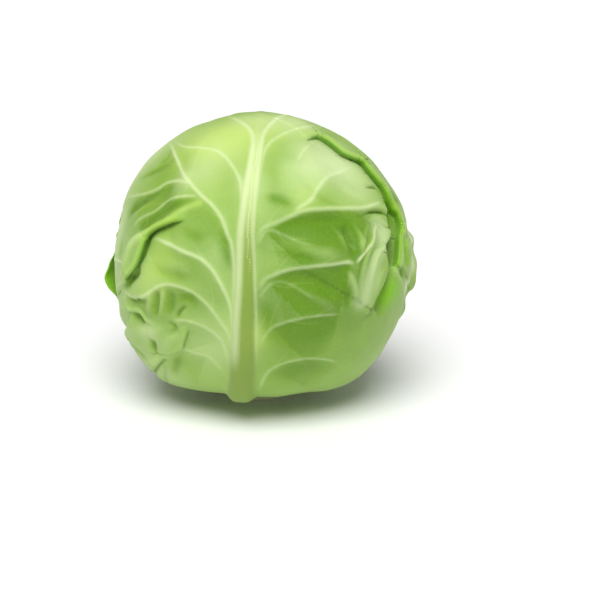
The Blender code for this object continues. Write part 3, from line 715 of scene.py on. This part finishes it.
def splitLongSides(points, triangles, tooLong):
    # cuts each side that is too long in two, and the triangles beside it with it
    sides = np.sort(triangles[:, [[0, 1], [1, 2], [2, 0]]], axis=2).reshape(-1, 2)
    sides, index, uses = np.unique(sides, axis=0, return_inverse=True, return_counts=True)
    marked = tooLong(sides)
    middles = points[sides[marked]].mean(axis=1)
    onEdge = (uses == 1)[marked]
    middles[onEdge] = unit(middles[onEdge])
    number = np.where(marked, np.cumsum(marked) - 1 + len(points), -1)
    cut = number[index.reshape(-1)].reshape(-1, 3)
    for _ in range(2):  # turn each triangle so that its uncut sides come last
        turn = ((cut[:, 0] < 0) & (cut.max(axis=1) >= 0)) | ((cut[:, 2] >= 0) & (cut.min(axis=1) < 0))
        triangles[turn], cut[turn] = np.roll(triangles[turn], -1, axis=1), np.roll(cut[turn], -1, axis=1)
    a, b, c = triangles.T
    m, n, o = cut.T
    cuts = (cut >= 0).sum(axis=1)
    made = [triangles[cuts == 0]]
    for amount, corners in (
        (1, [(a, m, c), (m, b, c)]),
        (2, [(m, b, n), (a, m, n), (a, n, c)]),
        (3, [(a, m, o), (m, b, n), (o, n, c), (m, n, o)]),
    ):
        made += [np.stack(corner, axis=1)[cuts == amount] for corner in corners]
    return np.concatenate([points, middles]), np.concatenate(made)


def wantedLength(k, d):
    # mm between points: short where the leaf shows ribs and folds, long where it is covered
    leaf = leaves[k]
    want = leaf.detail * (1 + 1.6 * smoothStep(0.6, 1, pressed(k, d)))
    for rib in leaf.ribs:
        want = np.where(np.abs(nearPath(d, rib["path"])[0]) < 2.6, np.minimum(want, 0.8 * leaf.detail), want)
    for crease in leaf.creases:
        near = np.abs(nearPath(d, crease["path"])[0]) < 1.8 * crease["width"]
        want = np.where(near, np.minimum(want, 1.0), want)
    for pleat in leaf.pleats:
        want = np.where(np.abs(nearPath(d, pleat["path"])[0]) < 3.5 * pleat["wall"], 0.36 * pleat["wall"], want)
    return want


def leafMesh(k, startGrid=120, rounds=3):
    leaf = leaves[k]
    points, triangles = discTriangles(startGrid)

    def toBall(flat):
        turn = np.degrees(np.arctan2(flat[:, 0], flat[:, 1]))
        return leaf.at(turn, np.hypot(flat[:, 0], flat[:, 1]) * leaf.edge(turn, leaf.base))

    for _ in range(rounds):
        d = toBall(points)
        want = wantedLength(k, d)

        def tooLong(sides, d=d, want=want):
            length = np.linalg.norm(d[sides[:, 0]] - d[sides[:, 1]], axis=1) * ball["radius"] / mm
            return length > 1.35 * want[sides].min(axis=1)

        points, triangles = splitLongSides(points, triangles, tooLong)
    d = toBall(points)
    places, thickness, finish = leafSurface(k, d)
    return d, places, thickness, finish, triangles


def meshObject(name, points, faces):
    mesh = bpy.data.meshes.new(name)
    mesh.from_pydata(np.asarray(points).tolist(), [], np.asarray(faces).tolist())
    mesh.shade_smooth()
    made = bpy.data.objects.new(name, mesh)
    bpy.context.scene.collection.objects.link(made)
    return made


def addAttribute(mesh, name, values):
    kind = "FLOAT" if values.ndim == 1 else "FLOAT_VECTOR"
    made = mesh.attributes.new(name, kind, "POINT")
    made.data.foreach_set("value" if values.ndim == 1 else "vector", values.astype(np.float32).ravel())


def buildLeaf(k):
    leaf = leaves[k]
    d, places, thickness, finish, triangles = leafMesh(k)
    made = meshObject(leaf.name, places, triangles)
    group = made.vertex_groups.new(name="thickness")
    thickest = thickness.max()
    for i, share in enumerate(thickness / thickest):
        group.add([i], float(share), "REPLACE")
    for name, values in finish.items():
        addAttribute(made.data, name, values)
    flat = np.radians(leaf.flat(d)) * ball["radius"] * 100
    ownLayer = np.full((len(flat), 1), leaf.seed * 3.7)  # so that no two leaves have the same pattern
    addAttribute(made.data, "leafPlace", np.concatenate([flat, ownLayer], axis=1))
    paint = leafPaint(leaf, d)
    for name, values in paint.items():
        addAttribute(made.data, name, values)
    solid = made.modifiers.new("thickness", "SOLIDIFY")
    solid.thickness = thickest
    solid.vertex_group = group.name
    solid.offset = 0
    return made


# ---- where each leaf is greener, paler or waxier, with painted shade in its troughs and valleys and painted sheen along its right rim

paintSpots = {  # place in the picture, size in mm, amount
    # deeper green, partly the leaf's own and partly painted shade under the side ribs and in hollows
    "greenAndShade": [
        ((330, 248), 24, 0.3), ((318, 285), 20, 0.5), ((350, 300), 22, 0.35), ((282, 310), 24, 0.35),
        ((280, 203), 9, 0.3), ((150, 215), 14, 0.1), ((160, 311), 12, 0.2), ((172, 345), 14, 0.2),
        ((262, 300), 12, 0.4), ((228, 155), 12, 0.15), ((265, 240), 10, 0.3), ((205, 312), 14, 0.15),
        ((190, 270), 12, 0.1), ((232, 262), 9, 0.25),
    ],
    "bloomAndSheen": [
        ((212, 320), 26, 0.12), ((222, 262), 18, 0.1), ((215, 350), 18, 0.3), ((322, 156), 20, 0.75),
        ((350, 182), 18, 0.5), ((120, 225), 16, 0.6), ((112, 250), 10, 0.5), ((300, 178), 14, 0.3),
        ((150, 162), 20, 0.7), ((372, 228), 8, 0.5), ((205, 165), 16, 0.4), ((168, 372), 14, 0.3),
        ((124, 318), 8, 0.35), ((290, 124), 16, 0.6), ((250, 122), 12, 0.25), ((150, 333), 9, 0.4),
        ((140, 228), 10, 0.25), ((250, 185), 10, 0.3), ((180, 185), 8, 0.3),
    ],
    "yellow": [
        ((235, 135), 24, 0.8), ((290, 128), 22, 0.4), ((200, 150), 22, 0.45), ((180, 138), 20, 0.35),
        ((150, 205), 16, 0.2), ((250, 335), 10, 0.6), ((160, 262), 14, 0.45), ((150, 290), 14, 0.3),
        ((306, 195), 8, 0.3), ((215, 185), 16, 0.3),
    ],
    "bright": [((399, 262), 3.5, 0.8), ((398, 247), 3, 0.6), ((390, 290), 7, 1.0), ((380, 298), 6, 0.7)],
}

paintLines = {  # places in the picture, half width in mm, amount
    # painted shade along the troughs and valleys
    "greenAndShade": [
        ([(386, 200), (388, 215), (388, 232), (387, 250), (386, 268), (383, 285), (378, 300)], 3.6, 1.2),
        ([(342, 222), (348, 238), (353, 255)], 3.2, 0.9),
        ([(152, 234), (147, 244), (144, 256), (139, 268)], 2.4, 1.0),
        ([(284, 227), (312, 222), (334, 222)], 5, 0.4),
    ],
    "bloomAndSheen": [
        # waxy bloom and painted grazing sheen along the right rim
        ([(300, 122), (322, 129), (345, 142), (366, 157), (384, 176), (396, 195), (404, 215), (409, 238), (411, 262),
          (400, 285)], 5, 0.95),
        ([(377, 228), (375, 245), (369, 262), (362, 285), (358, 300)], 5, 0.55),
        ([(139, 170), (128, 195), (118, 220), (112, 245)], 5, 0.3),
    ],
    "yellow": [([(200, 203), (186, 208), (167, 218), (153, 225), (141, 234), (132, 245)], 2.2, 0.4)],
}


def leafPaint(leaf, d):
    paint = {
        "greenAndShade": 0.25 + 0.18 * swells(d, leaf.seed + 20, 20),
        "bloomAndSheen": 0.12 + 0.1 * swells(d, leaf.seed + 21, 24),
        "yellow": 0.12 + 0.12 * swells(d, leaf.seed + 22, 34),
        "bright": np.zeros(len(d)),
    }
    if leaf.name == "frontLeaf":
        for name, spots in paintSpots.items():
            for place, size, amount in spots:
                paint[name] = paint[name] + amount * spot(d, place, size)
        for name, lines in paintLines.items():
            for places, width, amount in lines:
                gap, _, _ = nearPath(d, smoothPath(fromPicture(places), 30))
                paint[name] = paint[name] + amount * np.exp(-((gap / width) ** 2))
    if leaf.name == "leftLeaf":
        paint["bright"] = spot(d, (108, 278), 16)
    return {name: np.clip(values, 0, 1) for name, values in paint.items()}


# ---- shader maths: values as Python expressions


class Socket:
    def __init__(self, nodes, socket):
        self.nodes, self.socket = nodes, socket

    def maths(self, operation, *values):
        return self.nodes.add("ShaderNodeMath", {"operation": operation}, *values)

    def __add__(self, other):
        return self.maths("ADD", self, other)

    def __sub__(self, other):
        return self.maths("SUBTRACT", self, other)

    def __mul__(self, other):
        return self.maths("MULTIPLY", self, other)

    def __rsub__(self, other):
        return self.maths("SUBTRACT", other, self)

    __radd__, __rmul__ = __add__, __mul__

    def size(self):
        return self.maths("ABSOLUTE", self)

    def most(self, other):
        return self.maths("MAXIMUM", self, other)

    def least(self, other):
        return self.maths("MINIMUM", self, other)

    def between(self, low, high):
        # 0 at low and 1 at high, smooth
        smooth = {"interpolation_type": "SMOOTHSTEP"}
        return self.nodes.add("ShaderNodeMapRange", smooth, self, low, high, 0.0, 1.0)


class Finish:
    # a material and the nodes in it
    def __init__(self, name, **settings):
        self.material = bpy.data.materials.new(name)
        self.material.use_nodes = True
        self.tree = self.material.node_tree
        self.shader = self.tree.nodes["Principled BSDF"]
        for socket, value in settings.items():
            self.shader.inputs[socket.replace("_", " ")].default_value = value

    def add(self, kind, settings, *values, output=0):
        # settings come first; a value is a number, a colour, a Socket, or None to leave its socket alone
        node = self.tree.nodes.new(kind)
        for name, value in settings.items():
            setattr(node, name, value)
        live = [socket for socket in node.inputs if socket.enabled]
        for socket, value in zip(live, values):
            if isinstance(value, Socket):
                self.tree.links.new(value.socket, socket)
            elif value is not None:
                socket.default_value = value
        outputs = [socket for socket in node.outputs if socket.enabled]
        return Socket(self, outputs[output])

    def attribute(self, name, vector=False):
        return self.add("ShaderNodeAttribute", {"attribute_name": name}, output=1 if vector else 2)

    def mix(self, share, first, second):
        return self.add("ShaderNodeMix", {"data_type": "RGBA"}, share, first, second)

    def noise(self, place, scale, detail=3.0, roughness=0.55):
        return self.add("ShaderNodeTexNoise", {}, place, scale, detail, roughness)

    def edges(self, place, scale):
        # distance to the nearest side between cells
        return self.add("ShaderNodeTexVoronoi", {"feature": "DISTANCE_TO_EDGE"}, place, scale)

    def set(self, socket, value):
        self.tree.links.new(value.socket, self.shader.inputs[socket])

    def bump(self, height, distance, strength):
        node = self.tree.nodes.new("ShaderNodeBump")
        node.inputs["Strength"].default_value = strength
        node.inputs["Distance"].default_value = distance
        self.tree.links.new(height.socket, node.inputs["Height"])
        self.tree.links.new(node.outputs[0], self.shader.inputs["Normal"])


def colour(red, greenAndShade, blue):
    # from the photo's scale of 0 to 255
    def linear(value):
        value /= 255
        return value / 12.92 if value <= 0.04045 else ((value + 0.055) / 1.055) ** 2.4

    return (linear(red), linear(greenAndShade), linear(blue), 1)


leafColours = {
    "blade": colour(142, 180, 72),
    # deep: the leaf's deeper green, also the colour of the painted shade
    "deep": colour(84, 130, 8),
    "yellow": colour(190, 218, 104),
    # the colour of the waxy bloom and of the painted sheen
    "bloomAndSheen": colour(212, 228, 176),
    "rib": colour(216, 230, 178),
    "midribLow": colour(126, 152, 58),
    "midrib": colour(200, 218, 150),
    "vein": colour(184, 208, 126),
    # colours of the painted shade under the rolled lip and of its painted highlight
    "fold": colour(104, 162, 8),
    "paintedLipHighlight": colour(176, 218, 84),
    "bright": colour(122, 186, 6),
}


def leafFinish(name, palette, waxy=1.0):
    finish = Finish(name, Subsurface_Weight=0.12, Subsurface_Scale=0.002, IOR=1.42, Sheen_Weight=0.2,
                    Sheen_Roughness=0.4)
    finish.shader.inputs["Subsurface Radius"].default_value = (0.8, 1.0, 0.25)
    finish.shader.inputs["Specular IOR Level"].default_value = 0.3
    finish.shader.inputs["Sheen Tint"].default_value = colour(232, 242, 214)
    place = finish.attribute("leafPlace", vector=True)
    warp = finish.add("ShaderNodeTexNoise", {}, place, 0.9, 3.0, 0.5, output=1)
    warped = finish.add("ShaderNodeVectorMath", {"operation": "MULTIPLY_ADD"}, warp, (0.5, 0.5, 0.0), place)
    fineNet = finish.edges(warped, 2.6)
    blotch = finish.noise(place, 0.5, 4.0)
    grain = finish.noise(place, 9.0, 4.0)

    def line(name, width, guard):
        return (1 - finish.attribute(name + "Across").size().between(0.0, width)) * (
            1 - finish.attribute(name + "Near").between(guard, guard * 1.3))

    ribLines = [line(f"rib{group}", 1.6, 1.9) * finish.attribute(f"rib{group}Strength") for group in range(4)]
    ribLine = ribLines[0].most(ribLines[1]).most(ribLines[2]).most(ribLines[3])
    veinLine = line("vein", 1.1, 1.6) * finish.attribute("veinStrength")
    fineLine = 1 - fineNet.between(0.0, 0.08)
    midAcross = finish.attribute("midribAcross")
    midRib = 1 - midAcross.size().between(0.55, 1.05)
    midAlong = finish.attribute("midribAlong")
    # painted shade in the valleys and painted light on the ridges, read from the relief
    paintedReliefShading = finish.attribute("paintedReliefShading")

    # deeper green, with painted shade where the relief dips
    greenAndShade = (finish.attribute("greenAndShade") + (blotch - 0.5) * 0.35 - paintedReliefShading * 0.55).between(0.0, 1.0)
    # waxy bloom, with painted light on the ridges
    bloomAndSheen = ((finish.attribute("bloomAndSheen") + (grain - 0.5) * 0.12 + paintedReliefShading * 0.35) * waxy).least(1.0).most(0.0)
    shade = finish.mix(greenAndShade, palette["blade"], palette["deep"])
    shade = finish.mix((finish.attribute("yellow") * 0.85).least(1.0), shade, palette["yellow"])
    shade = finish.mix((fineLine * 0.05 + veinLine * 0.14) * (1 - midRib), shade, palette["vein"])
    shade = finish.mix(bloomAndSheen * 0.75, shade, palette["bloomAndSheen"])
    # painted highlight on the lip's crest, then painted shade under the lip
    shade = finish.mix(finish.attribute("paintedLipHighlight") * 0.6, shade, palette["paintedLipHighlight"])
    shade = finish.mix(finish.attribute("fold") * 0.8, shade, palette["fold"])
    midShade = finish.mix(midAlong.between(0.33, 0.6), palette["midribLow"], palette["midrib"])
    shade = finish.mix(midRib * 0.85 * (1 - midAlong.between(0.6, 0.85)), shade, midShade)
    shade = finish.mix(ribLine * 0.95, shade, palette["rib"])
    shade = finish.mix(finish.attribute("bright") * 0.9, shade, palette["bright"])
    finish.set("Base Color", shade)
    rough = 0.46 + bloomAndSheen * 0.14 + (grain - 0.5) * 0.1
    finish.set("Roughness", rough)
    finish.bump(fineLine * 0.3 + grain * 0.15 + blotch * 0.8, 0.0006, 0.3)
    return finish.material


def paleOf(palette, share):
    pale = colour(205, 218, 150)

    def towardsPale(value):
        return tuple((1 - share) * a + share * b for a, b in zip(value, pale))

    return {name: towardsPale(value) for name, value in palette.items()}


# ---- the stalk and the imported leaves, which keep the frame's shapes


def dress(nodeName, finish):
    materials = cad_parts[nodeName].data.materials
    materials.clear()
    materials.append(finish)


def stalkFinish():
    finish = Finish("cut stalk", Roughness=0.6, Subsurface_Weight=0.15, Subsurface_Scale=0.003)
    place = finish.add("ShaderNodeTexCoord", {}, output=3)
    grain = finish.noise(place, 240.0, 4.0)
    blotch = finish.noise(place, 40.0, 3.0)
    shade = finish.mix(blotch, colour(216, 220, 172), colour(236, 232, 200))
    shade = finish.mix(grain.between(0.5, 0.8) * 0.5, shade, colour(186, 182, 128))
    finish.set("Base Color", shade)
    finish.bump(grain, 0.0006, 0.5)
    return finish.material


def heartFinish():
    finish = Finish("packed leaves", Roughness=0.45, Subsurface_Weight=0.25, Subsurface_Scale=0.004)
    place = finish.add("ShaderNodeTexCoord", {}, output=3)
    blotch = finish.noise(place, 30.0, 4.0)
    grain = finish.noise(place, 260.0, 3.0)
    shade = finish.mix(blotch.between(0.3, 0.7), colour(206, 220, 148), colour(228, 234, 184))
    finish.set("Base Color", shade)
    finish.bump(grain + blotch, 0.0006, 0.4)
    return finish.material


# ---- everything in place

outerFinish = leafFinish("green leaf", leafColours)
underFinish = leafFinish("pale leaf", paleOf(leafColours, 0.45), waxy=0.6)
for k, leaf in enumerate(leaves):
    piece = buildLeaf(k)
    outer = leaf.node.startswith("wrapper")
    piece.data.materials.append(outerFinish if outer else underFinish)
    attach(piece, "root")
    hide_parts(leaf.node)
    print(leaf.name, "built from", len(piece.data.polygons), "triangles a side")

dress("stalk", stalkFinish())
dress("heart", heartFinish())
print("stalk and heart dressed")

# ---- floor and light

stageShape = {
    "floorRadius": 8,
    "floorColour": (0.9, 0.9, 0.9, 1),
    "world": 0.3,
    "sunPower": 3.3,
    "sunHeight": 58,  # degrees
    "sunSide": -4,  # degrees round to the right of the camera
    "sunSoftness": 42,  # degrees across
}


def buildStage():
    bpy.ops.mesh.primitive_circle_add(vertices=64, radius=stageShape["floorRadius"], fill_type="NGON")
    floor = bpy.context.object
    floor.name = "floor"
    finish = Finish("pale floor", Roughness=0.8)
    finish.shader.inputs["Base Color"].default_value = stageShape["floorColour"]
    finish.shader.inputs["Specular IOR Level"].default_value = 0.1
    floor.data.materials.append(finish.material)
    world = bpy.data.worlds.new("studio")
    world.use_nodes = True
    background = world.node_tree.nodes["Background"]
    background.inputs["Color"].default_value = (1, 1, 1, 1)
    background.inputs["Strength"].default_value = stageShape["world"]
    bpy.context.scene.world = world
    data = bpy.data.lights.new("soft daylight", "SUN")
    data.energy, data.angle = stageShape["sunPower"], math.radians(stageShape["sunSoftness"])
    sun = bpy.data.objects.new("soft daylight", data)
    towards = Vector(direction(stageShape["sunSide"], stageShape["sunHeight"]))
    sun.rotation_euler = towards.to_track_quat("Z", "Y").to_euler()
    bpy.context.scene.collection.objects.link(sun)


buildStage()
bpy.context.scene.view_settings.view_transform = "Standard"
print("stage lit")
